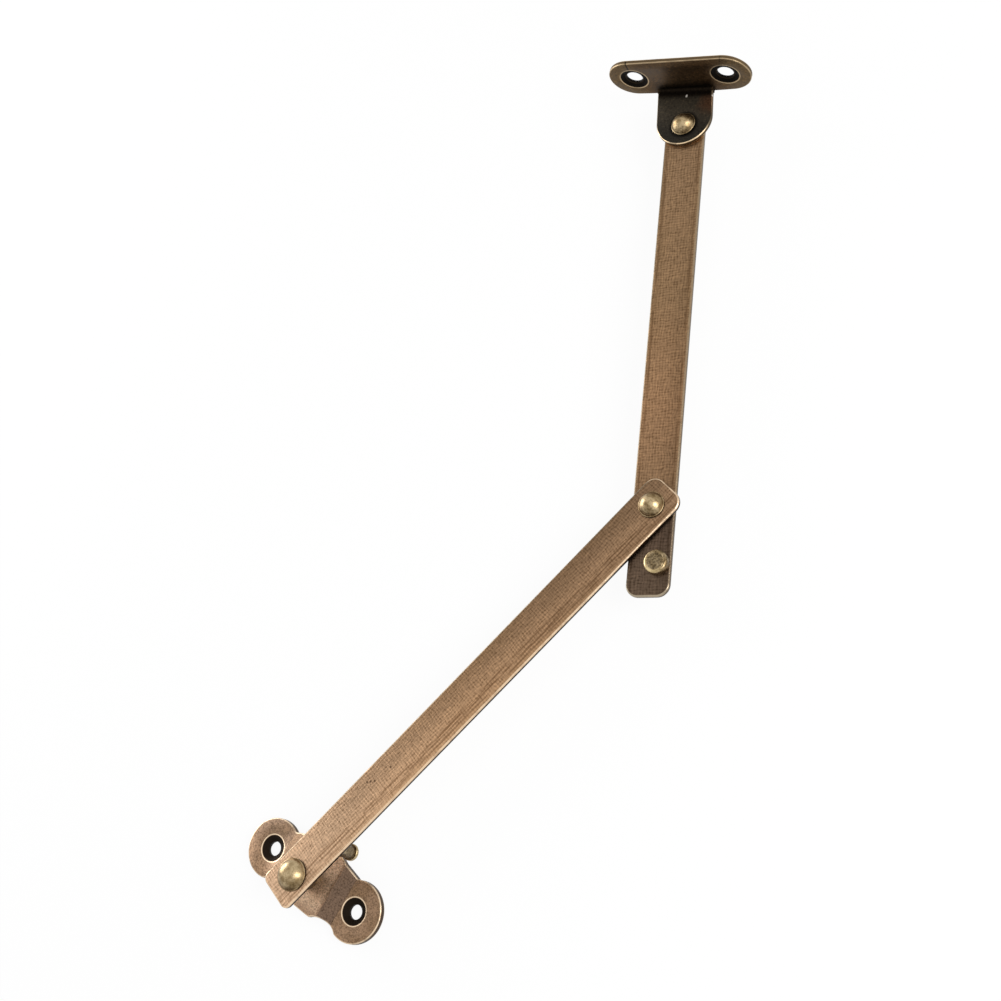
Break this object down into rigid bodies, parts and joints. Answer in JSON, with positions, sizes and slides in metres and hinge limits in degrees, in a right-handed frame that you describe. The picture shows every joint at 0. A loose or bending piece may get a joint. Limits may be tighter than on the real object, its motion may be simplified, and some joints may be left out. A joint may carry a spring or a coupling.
{
  "type": "folding lid stay",
  "caption": "Folding lid stay in antique brass: flat arms riveted at an elbow, a raised screw bracket at the lower end and a folded plate bracket for the lid at the upper end.",
  "frame": {"origin": "midway between the lower bracket's two screw holes, on the plane of the ears' backs", "axes": "+Z out of the surface that the lower bracket is screwed to, +X along its two screw holes"},
  "size_m": [0.0947, 0.264, 0.0252],
  "materials": {
    "bracket_brass": "antique satin",
    "rivet_brass": "antique polished",
    "arm_brass": "antique satin",
    "dark_brass": "dark antique satin"
  },
  "bodies": {
    "lower_bracket": {"lower_bracket": "bracket_brass", "lower_rivet": "rivet_brass"},
    "lower_arm": {"lower_arm": "arm_brass", "rear_stop_pin": "rivet_brass"},
    "upper_arm": {"upper_arm": "arm_brass", "elbow_rivet": "rivet_brass", "elbow_stop_pin": "rivet_brass", "upper_rivet": "rivet_brass"},
    "upper_bracket": {"upper_bracket": "dark_brass"}
  },
  "joints": [
    {"name": "lower_pivot", "type": "hinge", "parent": "lower_bracket", "child": "lower_arm", "pos_m": [0, 0, 0.0106], "axis": [0, 0, 1], "range_deg": [-9, 72]},
    {"name": "elbow", "type": "hinge", "parent": "lower_arm", "child": "upper_arm", "pos_m": [0.0385, 0.13252, 0.0106], "axis": [0, 0, 1], "range_deg": [-15, 112]},
    {"name": "upper_pivot", "type": "hinge", "parent": "upper_arm", "child": "upper_bracket", "pos_m": [-0.01425, 0.23695, 0.0106], "axis": [0, 0, 1], "range_deg": [-76, 94]}
  ]
}
